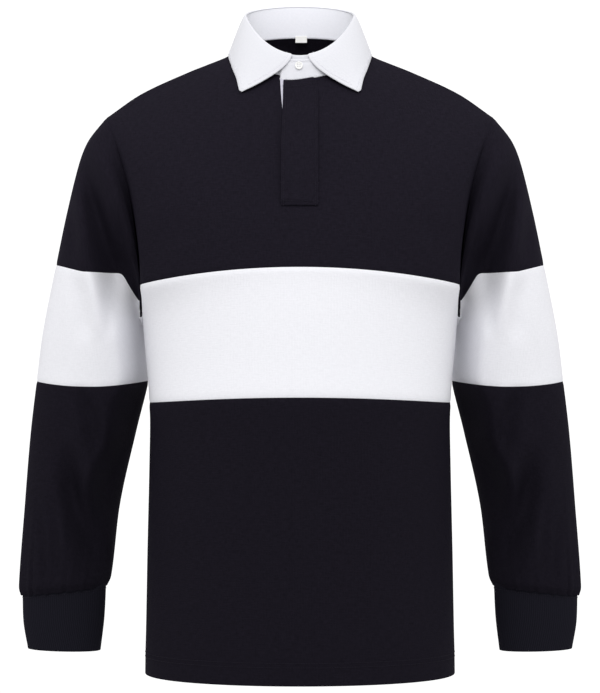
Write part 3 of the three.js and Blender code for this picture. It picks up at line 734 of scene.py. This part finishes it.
head_end = np.full(RING.shape, 1.6)
above = np.full(RING.shape, HEAD_LEAST)
for _ in range(30):
    between = (above + head_end) / 2
    place = ring_point(SLEEVE, RING, between)
    seam_z = np.interp(place[:, 0], [row["x"] for row in HEAD_FOOT], [row["z"] for row in HEAD_FOOT])
    over = place[:, 2] > seam_z
    above = np.where(over, between, above)
    head_end = np.where(over, head_end, between)
for _ in range(2):
    head_end = (np.roll(head_end, 1) + 2 * head_end + np.roll(head_end, -1)) / 4


def sleeve_grid(start, end, count, dip_start, dip_end):
    """Outer points of part of the left sleeve, from the underarm round the front to the back."""
    r = start + (end - start) * spaced(0, 1, count)[:, None]
    turn = np.repeat(RING[None], count, 0)
    grid = ring_point(SLEEVE, turn, r)
    sin = np.sin(np.radians(turn))
    from_top = run_from(grid, "top")
    from_armhole = np.linalg.norm(grid - ring_point(SLEEVE, turn, 0), axis=-1)
    sunk = along(ARMHOLE_VALLEY, "turn", "depth", np.abs(turn))
    grid[..., 1] += np.sign(sin) * sunk * np.exp(-(from_armhole / VALLEY_SLEEVE) ** 2)
    past_ridge = along(INNER_RIDGE, "z", "x", grid[..., 2]) - grid[..., 0]
    past_back = smooth(np.abs(turn), 110, 180)
    inner_edge = smooth(turn, 140, 180)
    past = np.where(sin < 0, past_back, smooth(past_ridge, *RIDGE_REACH) * (1 - inner_edge) + inner_edge)
    grid[..., 1] += along(SET_BACK, "r", "y", r) * past
    x, z = grid[..., 0], grid[..., 2]
    front = crease_depth(x, z, SLEEVE_FRONT_CREASES) * np.clip(sin / 0.3, 0, 1)
    back = crease_depth(x, z, SLEEVE_BACK_CREASES) * np.clip(-sin / 0.3, 0, 1)
    grid[..., 1] += (front - back) * np.clip(r / 0.12, 0, 1)
    gather = sum(
        row["share"] * np.cos(np.radians(row["waves"] * turn + row["turn_shift"])) for row in GATHER
    )
    gather *= GATHER_DEEP * np.clip((r - 2.5) / 0.5, 0, 1) ** 1.5
    gather *= 1 + 0.9 * np.cos(np.radians(turn - 20))
    depth = gather + dip_start * np.exp(-(from_top / SEAM_DIP_REACH) ** 2)
    depth += dip_end * np.exp(-(run_from(grid, "foot") / SEAM_DIP_REACH) ** 2)
    return grid - outward(grid, closed=True) * depth[..., None]


def mirrored(grid):
    """The same cloth on the right side."""
    return grid[:, ::-1] * (-1, 1, 1)


upper_grid = sleeve_grid(0, head_end, 64, ARMHOLE_DIP, SEAM_DIP)
band_grid = tucked(sleeve_grid(head_end, 2, 56, SEAM_DIP, SEAM_DIP), ("top", "foot"), closed=True)
lower_grid = sleeve_grid(2, 3, 92, SEAM_DIP, 0)
SIDES = (("left", lambda grid: grid), ("right", mirrored))
for side, turned in SIDES:
    sew_in(f"sleeve_{side}_upper", turned(upper_grid), NAVY, (0.46, 0.2), 0.045, closed=True)
    sew_in(f"sleeve_{side}_band", turned(band_grid), WHITE, (0.44, 0.16), 0.0535, closed=True)
    sew_in(f"sleeve_{side}_lower", turned(lower_grid), NAVY, (0.42, 0.28), 0.09, closed=True)


# Cuffs: navy rib knit, doubled at the wrist and sewn under the sleeve's end, with a row of
# stitches just below the seam.
CUFF = table(
    RING_COLUMNS,
    (0, 335.5, -656.3, 234.5, -645.3, 28, 32, 34, 1, 1, 0),
    (0.5, 334.3, -689, 236.5, -684, 27.5, 31, 32, 1, 1, 0),
    (1, 329, -720, 241, -722, 27, 29, 30, 1, 1, 0),
)
CUFF_TURNED = 30
CUFF_STITCH = 2.6
CUFF_ROWS = 30


def rib_knit(name, deep, bright):
    """Rib knit: upright ribs with furrows between them, matt and springy; the furrows are painted darker, a
    painted shade.
    """
    material, tree, shader = new_material(name, {
        "Roughness": 0.95, "Specular IOR Level": 0.04, "Sheen Weight": 0.03,
        "Sheen Tint": linear_colour("#6a6488"),
    })
    millimetres = millimetres_of(tree)
    # Ribs 2.6 mm apart
    ribs = add_node(
        tree, "ShaderNodeTexWave",
        {"Vector": millimetres, "Scale": WAVE_MM / 2.6, "Distortion": 0.4, "Detail": 1.0},
        bands_direction="X",
    ).outputs["Fac"]
    fuzz = add_node(tree, "ShaderNodeTexNoise", {"Vector": millimetres, "Scale": 0.9, "Detail": 3.0})
    # Painted shade: darker in the furrows and lighter on the ribs
    tree.links.new(colour_between(tree, ribs, deep, bright), shader.inputs["Base Color"])
    add_relief(tree, shader, 0.4, 0.0006, ribs, fuzz.outputs["Fac"], 0.3)
    return material


# Navy rib: its upright furrows set the cuff apart from the smooth sleeve
navy_rib = rib_knit("navy rib knit", "#14141a", "#1b1a22")
cuff_grid = ring_point(CUFF, RING, np.linspace(0, 1, CUFF_ROWS)[:, None])
cuff_line = inset_line(cuff_grid, "top", CUFF_STITCH, closed=True)
tucked_cuff = tucked(cuff_grid, ("top",), closed=True, reach=5, depth=1.4)
cuff_sewn = turned_up(tucked_cuff, CUFF_TURNED, closed=True)
rib_goods = (JERSEY, navy_rib, "navy_rib")
for side, turned in SIDES:
    sew_in(f"cuff_{side}", turned(cuff_sewn), rib_goods, (0.27, 0.115), 0.0267, closed=True)
    line_points = turned(np.concatenate((cuff_line, cuff_line[:1]))[None])[0]
    sewn(f"cuff_{side}_stitches", [line_points], navy_thread, radius=0.35)


# Collar stand: white cotton twill, standing on the neck seam. The wearer's left end laps over
# the right one in front, a little lower, with its corner rounded.
TWILL = 1.5
FOLD_HALF = 66.5
FOLD_FRONT = {"y": -72, "z": -12.5}
FOLD_SIDE = {"y": 6, "z": 42.5}
FOLD_BACK = {"y": 62, "z": 59.7}
FOLD_DIP = 1.55
LAP_OUT = 2.6
LAP_DROP = 5.2
LAP_FROM = 300
LAP_FULL = 345
LAP_OVER = 18
LAP_UNDER = 12
LAP_LOWER = 5.0
CORNER = 9.0
STAND_DOWN = 1.4
STAND_STITCH = 1.8
FOOT_DOWN = 0.8
FOOT_OUT = 1.6
RIPPLE = 0.5
GROOVE = {"deep": 0.7, "down": 3.6, "reach": 1.1}
# Degrees round the neck over which the lapped end comes to each change of form
LAP_STEPS = {
    "drop": (334, 381), "lower": (338, 350), "foot": (350, 372), "ripple": (325, 345), "groove": (320, 335),
}


def loop_point(half_width, front_end, side, back_end, degrees, dip):
    """Points of a loop round the neck, from the middle front over the right side."""
    cos = np.cos(np.radians(degrees))
    end_y = np.where(cos > 0, front_end["y"], back_end["y"])
    end_z = np.where(cos > 0, front_end["z"], back_end["z"])
    rise = np.where(cos > 0, np.abs(cos) ** dip, np.abs(cos))
    return np.stack((
        -half_width * np.sin(np.radians(degrees)),
        side["y"] + (end_y - side["y"]) * np.abs(cos),
        side["z"] + (end_z - side["z"]) * rise,
    ), -1)


def neck_point(degrees):
    """Points of the neck seam."""
    return loop_point(NECK_HALF, NECK_FRONT, NECK_SIDE, NECK_BACK, degrees, 1)


def fold_point(degrees):
    """Points of the collar's fold."""
    return loop_point(FOLD_HALF, FOLD_FRONT, FOLD_SIDE, FOLD_BACK, degrees, FOLD_DIP)


def neck_out(points):
    """Level directions away from the middle of the neck."""
    out = points - (0, NECK_SIDE["y"], 0)
    out[..., 2] = 0
    return unit(out)


def cotton_twill(name, deep, bright, relief, greyed=1.0, unshaded_from=-0.03):
    """Pressed cotton twill: fine diagonal lines, crisp and matt. In front it can be painted greyer, a
    painted shade."""
    surface = {"Roughness": 0.85, "Specular IOR Level": 0.3, "Sheen Weight": 0.2}
    material, tree, shader = new_material(name, surface)
    millimetres = millimetres_of(tree)
    slanting = {"Vector": millimetres, "Rotation": (0, 0, math.radians(55))}
    # Twill lines of 0.6 mm are drawn 1.3 mm apart
    lines = add_node(
        tree, "ShaderNodeTexWave",
        {"Vector": add_node(tree, "ShaderNodeMapping", slanting).outputs[0], "Scale": WAVE_MM / 1.3,
         "Distortion": 0.5, "Detail": 1.0},
        bands_direction="X",
    )
    yarn = add_node(tree, "ShaderNodeTexNoise", {"Vector": millimetres, "Scale": 0.35, "Detail": 3.0})
    colour = colour_between(tree, yarn.outputs["Fac"], deep, bright)
    # Painted shade: greyer in front of the given depth, its own white behind
    colour = changed_along(tree, colour, "Y", unshaded_from - 0.03, unshaded_from, greyed, "LINEAR")
    tree.links.new(colour, shader.inputs["Base Color"])
    add_relief(tree, shader, relief, 0.0005, yarn.outputs["Fac"], lines.outputs["Fac"], 0.4)
    return material


# Stand twill: crisp and flat, painted greyer in front around the button, a painted shade for the leaf's
# shadow
white_twill = cotton_twill("white cotton twill", "#ecedf4", "#f4f4fa", 0.25, 0.74)
stand_degrees = np.linspace(360 + LAP_OVER, -LAP_UNDER, 250)
stand_down = np.linspace(0, 1, 20)[:, None]
stand_top = fold_point(stand_degrees) - (0, 0, STAND_DOWN)
stand_foot = neck_point(stand_degrees) - (0, 0, FOOT_DOWN)
stand_foot[:, 2] -= LAP_DROP * smooth(stand_degrees, *LAP_STEPS["drop"])
lapped = LAP_LOWER * smooth(stand_degrees, *LAP_STEPS["lower"])
from_end = (360 + LAP_OVER - stand_degrees) * math.radians(1) * NECK_HALF
rounding = CORNER - np.sqrt(np.clip(CORNER ** 2 - np.clip(CORNER - from_end, 0, CORNER) ** 2, 0, None))
lowered = np.clip((lapped + rounding) / np.linalg.norm(stand_top - stand_foot, axis=-1), 0, 0.8)
stand_top = stand_top + (stand_foot - stand_top) * lowered[:, None]
stand_grid = stand_top[None] + (stand_foot - stand_top)[None] * stand_down[..., None]
lap = LAP_OUT + FOOT_OUT * smooth(stand_degrees, *LAP_STEPS["foot"]) * stand_down
lap = lap * smooth(stand_degrees, LAP_FROM, LAP_FULL)
ripple = RIPPLE * np.cos(np.radians(stand_degrees * 34)) * smooth(stand_degrees, *LAP_STEPS["ripple"])
groove = GROOVE["deep"] * np.exp(-((run_from(stand_grid, "top") - GROOVE["down"]) / GROOVE["reach"]) ** 2)
groove = groove * smooth(stand_degrees, *LAP_STEPS["groove"])
stand_grid = stand_grid + neck_out(stand_grid) * (lap - groove + ripple * np.exp(-stand_down * 3))[..., None]
sew_in("collar_stand", stand_grid, (TWILL, white_twill, "white_twill"), (0.46, 0.06), 0.0178)
lap_end = stand_grid[:, stand_degrees > 335]
stand_lines = [
    inset_line(stand_grid, "foot", STAND_STITCH, 0.2),
    inset_line(lap_end, "top", STAND_STITCH, 0.2)[6:],
]
sewn("stand_stitches", stand_lines, white_thread, radius=0.25)


# Collar leaf: white cotton twill, rolled over the top of the stand and pressed down over the
# shoulders to two pointed tips in front. Its edges are stitched 5 mm in.
LEAF_EDGE = table(
    "turn v share clear",
    (0, 0.385, 0.585, 2.8), (0.2, 0.25, 0.733, 3), (0.38, 0.13, 0.92, 3), (0.5, 0.1, 1, 3),
    (0.64, 0.1, 0.88, 4), (0.82, 0.1, 0.5, 6), (1, 0.1, 0, 7),
)
CHEST = (0, 6, -130)
LEAF_START = 9
LEAF_ROLL = 6.5
LEAF_BULGE = 8
LEAF_STITCH = 5.2
LEAF_RISE = 1.6
LEAF_TOP_TURN = 1.31
LEAF_WAVE = 0.8
ROLL_RADIUS = 1.5
BULGE_REACH = 26
TIP = {"round": 3.2, "leaf": 40, "share": 0.17}

leaf_turn = np.linspace(0, 1, 90)
leaf_degrees = 360 - LEAF_START + (180 - 360 + LEAF_START) * leaf_turn
leaf_v = along(LEAF_EDGE, "turn", "v", leaf_turn)
leaf_share = np.clip(along(LEAF_EDGE, "turn", "share", leaf_turn), 0, 1)
leaf_foot = np.where(
    (leaf_turn > 0.5)[:, None],
    panel_point(True, leaf_v, leaf_share),
    panel_point(False, leaf_v, leaf_share),
)
clear_way = unit((leaf_foot - CHEST) * (0.5, 1, 1))
leaf_foot = leaf_foot + clear_way * along(LEAF_EDGE, "turn", "clear", leaf_turn)[:, None]
fold = fold_point(leaf_degrees)
fold_out = neck_out(fold)
fold = fold + fold_out * (LAP_OUT * smooth(leaf_degrees, LAP_FROM, LAP_FULL))[:, None]
roll_middle = fold - fold_out * (TWILL / 2) - (0, 0, STAND_DOWN)
up = np.array((0, 0, 1))
*roll, leaf_top = [
    roll_middle - fold_out * ROLL_RADIUS * math.cos(a) + up * ROLL_RADIUS * math.sin(a)
    for a in (*np.radians((-20, 5, 30, 53)), LEAF_TOP_TURN)
]
leaf_roll = LEAF_ROLL * (1 - 0.55 * smooth(leaf_turn, 0.1, 0.4))
leaf_bend = leaf_top + fold_out * leaf_roll[:, None] + up * LEAF_RISE
leaf_rows = [
    leaf_top * (1 - t) ** 2 + leaf_bend * 2 * t * (1 - t) + leaf_foot * t * t
    for t in np.linspace(0, 1, 34) ** 1.15
]
left_leaf = np.array(roll + leaf_rows)
leaf_down = np.clip((np.arange(len(left_leaf)) - len(roll)) / (len(leaf_rows) - 1), 0, 1)[:, None]
from_front = np.cumsum(np.pad(np.linalg.norm(np.diff(left_leaf[-1], axis=0), axis=-1), (1, 0)))
front_bulge = LEAF_BULGE * np.sin(np.pi * leaf_down ** 1.3) * np.exp(-(from_front / BULGE_REACH) ** 2)
left_leaf += front_bulge[..., None] * (-0.6, -0.2, -0.8)
# The sharp corner of the grid is drawn in, as a turned tip is blunt
tip = np.exp(-(from_front / TIP["round"]) ** 2)
tip = tip * np.exp(-((1 - leaf_down) * TIP["leaf"] / TIP["round"]) ** 2)
left_leaf += ((left_leaf[-4, 5] - left_leaf[-1, 0]) * TIP["share"]) * tip[..., None]
wave = LEAF_WAVE * np.sin(from_front / 11 + 0.6) * smooth(from_front, 6, 20)
wave = wave * (1 - smooth(from_front, 80, 110))
left_leaf += unit(clear_way) * (wave * np.sin(np.pi * leaf_down))[..., None]
leaf_grid = np.concatenate((left_leaf, mirrored(left_leaf)[:, 1:]), 1)
# Leaf twill: white behind and painted pale grey in front, a painted shade
leaf_twill = cotton_twill("white cotton twill, painted shade in front", "#ecedf4", "#f6f6fb", 0.3, 0.745, 0.05)
sew_in("collar_leaf", leaf_grid, (TWILL, leaf_twill, "white_twill"), (0.5, 0.09), 0.0233)
leaf_foot_line = inset_line(leaf_grid, "foot", LEAF_STITCH)[3:-3]
leaf_ends = [inset_line(leaf_grid, edge, LEAF_STITCH)[5:-3] for edge in ("left", "right")]
sewn("leaf_stitches", [leaf_foot_line, *leaf_ends], white_thread, radius=0.28)


# Placket: a white twill facing under the slit, which shows as a sliver beside the navy top
# layer. The top layer is edge-stitched and closed with a box of stitches at its foot.
PLACKET_EDGE = table(
    "down top facing",
    (0, -19.2, -23.3), (9, -19.5, -22.9), (24, -19.8, -21.9), (39, -20.3, -20.5), (51, -20.8, -19.5),
    (81, -21.6, -18), (153, -22, -18),
)
PLACKET_RIGHT = 21
FACING_RIGHT = 12
PLACKET_LONG = 153
PLACKET_INSET = 10
PLACKET_WALL = 0.9
FACING_WALL = 0.7
FACING_LIFT = 1.3
TOP_LIFT = 3.2
TOP_LIFT_SEWN = 0.5
BOX_TOP_UP = 26.5
BOX_FOOT_UP = 4.5
PLACKET_ROWS = (("left", 3.0), ("right", 3.0), ("foot", BOX_TOP_UP), ("foot", BOX_FOOT_UP))
PLACKET_TOP_ROW = ("top", 9.0)
ROW_PULL = 0.6
ROW_REACH = 1.0


def front_at(x, z):
    """Points of the front's cloth at places given by x and z."""
    above = np.zeros(np.broadcast(x, z).shape)
    below = np.full(above.shape, 3.0)
    for _ in range(40):
        v = (above + below) / 2
        half_width = side_of(v, False)[..., 0]
        share = np.clip(x / half_width, -1, 1)
        higher = (np.abs(x) >= half_width) | (panel_point(False, v, share)[..., 2] > z)
        above = np.where(higher, v, above)
        below = np.where(higher, below, v)
    return panel_point(False, above, x / side_of(above, False)[..., 0])


def strip(edge, right, long, lift, drop, rows, cols):
    """A strip that lies on the front, from the neck seam down."""
    share = np.linspace(0, 1, rows)[:, None]
    left = along(PLACKET_EDGE, "down", edge, share * long)
    x = left + (right - left) * np.linspace(0, 1, cols)[None]
    neck_z = neck_point(np.degrees(np.arcsin(-x / NECK_HALF)))[..., 2] - drop * smooth(-x, -31, 26)
    z = (neck_z - 0.3) * (1 - share) + (NECK_FRONT["z"] - long) * share
    points = front_at(x, z)
    points[..., 1] -= lift(x, share)
    return points


def facing_lift(x, share):
    """The facing waves a little beside the open end of the slit."""
    return FACING_LIFT + 0.5 * np.sin(share * 19) * smooth(-x, 14, 22) * (1 - smooth(share, 0.15, 0.3))


def top_lift(x, share):
    """The top layer stands off at its free edge and is sewn down on the right and at its foot."""
    free = TOP_LIFT - 0.9 * smooth(share, 0.8, 0.93)
    free = free + 0.35 * np.sin(share * 23 + 1) * (1 - smooth(share, 0.5, 0.8))
    sewn_down = np.maximum(1 - smooth(-x, -21, -10), smooth(share, 0.955, 1))
    return free + (TOP_LIFT_SEWN - free) * sewn_down


facing_grid = strip("facing", FACING_RIGHT, PLACKET_LONG - PLACKET_INSET, facing_lift, 0, 60, 16)
# Facing twill: white twill painted greyer, a painted shade for the little light that comes into the slit
facing_twill = cotton_twill("greyed white twill in the slit", "#b4b2bf", "#c0becb", 0.25)
sew_in("placket_facing", facing_grid, (FACING_WALL, facing_twill, "white_twill"), (0.04, 0.155), 0.005)
placket_grid = strip("top", PLACKET_RIGHT, PLACKET_LONG, top_lift, LAP_DROP, 90, 24)
for edge, inset in PLACKET_ROWS:
    placket_grid[..., 1] += ROW_PULL * np.exp(-((run_from(placket_grid, edge) - inset) / ROW_REACH) ** 2)
sew_in("placket_top", placket_grid, (PLACKET_WALL, *NAVY[1:]), (0.046, 0.158), 0.007)
placket_lines = [inset_line(placket_grid, edge, inset) for edge, inset in (*PLACKET_ROWS, PLACKET_TOP_ROW)]
sewn("placket_stitches", placket_lines, navy_thread, radius=0.32)


# Neck label: a small bare tab of white satin tape, folded, with both ends caught in the back
# neck seam. It hangs inside the collar stand.
LABEL = {"left": -5.4, "right": 8.3, "top": 22.4, "foot": 14.4, "inside": 1.5, "thick": 0.5}
label_y = NECK_BACK["y"] - TWILL - LABEL["inside"]
label_x, label_z = np.meshgrid(
    np.linspace(LABEL["left"], LABEL["right"], 16), np.linspace(LABEL["top"], LABEL["foot"], 12),
)
label_curl = 0.8 * ((LABEL["top"] - label_z) / 9) ** 2
label_grid = np.stack((label_x, label_y - label_curl, label_z), -1)
# Satin tape: a flat warm white with hardly any grain
label_satin = cotton_twill("white satin tape", "#f0efec", "#f8f7f5", 0.1)
label_goods = (LABEL["thick"], label_satin, "label_satin")
sew_in("neck_label", label_grid, label_goods, (0.0147, 0.0102), 0.00013, kind="tape")


# Button: moulded of off-white resin with a dished front and four holes, sewn on with white
# thread. It lies fastened on the lapped end of the collar stand.
BUTTON = {"x": -1.3, "z": -26, "radius": 4.6, "thick": 2.4, "rim": 1.1, "dish": 0.6, "bevel": 0.5}
BUTTON_CORNERS = 48
HOLE = {"radius": 0.65, "apart": 1.25}
HOLE_CORNERS = 16
THREAD_BOW = ((-1, 0.1), (0, 0.45), (1, 0.1))

# Polyester resin: a slightly cloudy off-white, hard and glossier than the cloth around it
surface = {"Roughness": 0.35, "IOR": 1.52}
resin, resin_tree, resin_shader = new_material("off-white polyester resin", surface)
resin_place = add_node(resin_tree, "ShaderNodeTexCoord").outputs["Object"]
cloudy = add_node(resin_tree, "ShaderNodeTexNoise", {"Vector": resin_place, "Scale": 400.0, "Detail": 2.0})
resin_colour = colour_between(resin_tree, cloudy.outputs["Fac"], "#dddcda", "#ebebea")
resin_tree.links.new(resin_colour, resin_shader.inputs["Base Color"])


def solid(name, stacks):
    """An object made of stacks of circles, each stack closed at both ends."""
    points = []
    faces = []
    for circles in stacks:
        count = len(circles[0])
        firsts = [len(points) + i * count for i in range(len(circles))]
        for low, high in zip(firsts, firsts[1:]):
            for k in range(count):
                after = (k + 1) % count
                faces.append((low + k, low + after, high + after, high + k))
        faces.append(tuple(firsts[0] + k for k in range(count))[::-1])
        faces.append(tuple(firsts[-1] + k for k in range(count)))
        points += sum(circles, [])
    mesh = bpy.data.meshes.new(name)
    mesh.from_pydata(points, [], faces)
    return in_scene(name, mesh)


radius, thick, bevel = BUTTON["radius"], BUTTON["thick"], BUTTON["bevel"]
floor_of_dish = thick - BUTTON["dish"]
profile = [
    (0.001, 0), (radius - bevel, 0), (radius - bevel * 0.3, bevel * 0.3), (radius, bevel),
    (radius, thick - bevel), (radius - bevel * 0.3, thick - bevel * 0.3), (radius - bevel, thick),
    (radius - BUTTON["rim"], thick - 0.1), (radius - BUTTON["rim"] - bevel, floor_of_dish),
    (0.001, floor_of_dish),
]
button_blank = solid("button blank", [[circle(wide, z, BUTTON_CORNERS) for wide, z in profile]])
button_holes = solid("button holes", [
    [circle(HOLE["radius"], z, HOLE_CORNERS, x * HOLE["apart"], y * HOLE["apart"]) for z in (-1, thick + 1)]
    for x in (-1, 1) for y in (-1, 1)
])
drilled = button_blank.modifiers.new("holes", "BOOLEAN")
drilled.object = button_holes
drilled.operation = "DIFFERENCE"
button_shape = plain_mesh(button_blank, "neck_button_disc")
bpy.data.objects.remove(button_holes)
button_up = (BUTTON["z"] - NECK_FRONT["z"]) / (FOLD_FRONT["z"] - NECK_FRONT["z"])
button_y = NECK_FRONT["y"] + (FOLD_FRONT["y"] - NECK_FRONT["y"]) * button_up - LAP_OUT - 0.3
lean = math.atan2(FOLD_FRONT["y"] - NECK_FRONT["y"], FOLD_FRONT["z"] - NECK_FRONT["z"])


def on_stand(point):
    """A point given across, up and out from the button's back, where the button lies."""
    across, rise, out = point
    y = button_y - out * math.cos(lean) + rise * math.sin(lean)
    z = BUTTON["z"] + rise * math.cos(lean) + out * math.sin(lean)
    return (BUTTON["x"] + across, y, z)


for vertex in button_shape.vertices:
    vertex.co = [value / 1000 for value in on_stand(tuple(vertex.co))]
button_shape.materials.clear()
button_shape.materials.append(resin)
button_shape.set_sharp_from_angle(angle=math.radians(40))
neck_button = in_scene("neck_button_disc", button_shape)
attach(neck_button, "root")
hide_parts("neck_button")
apart = HOLE["apart"]
threads = [
    [on_stand((x * apart, y * apart * 1.1, floor_of_dish + out)) for y, out in THREAD_BOW]
    for x in (-1, 1)
]
sewn("button_thread", threads, white_thread, pitch=0.7, length=1.1, radius=0.28)
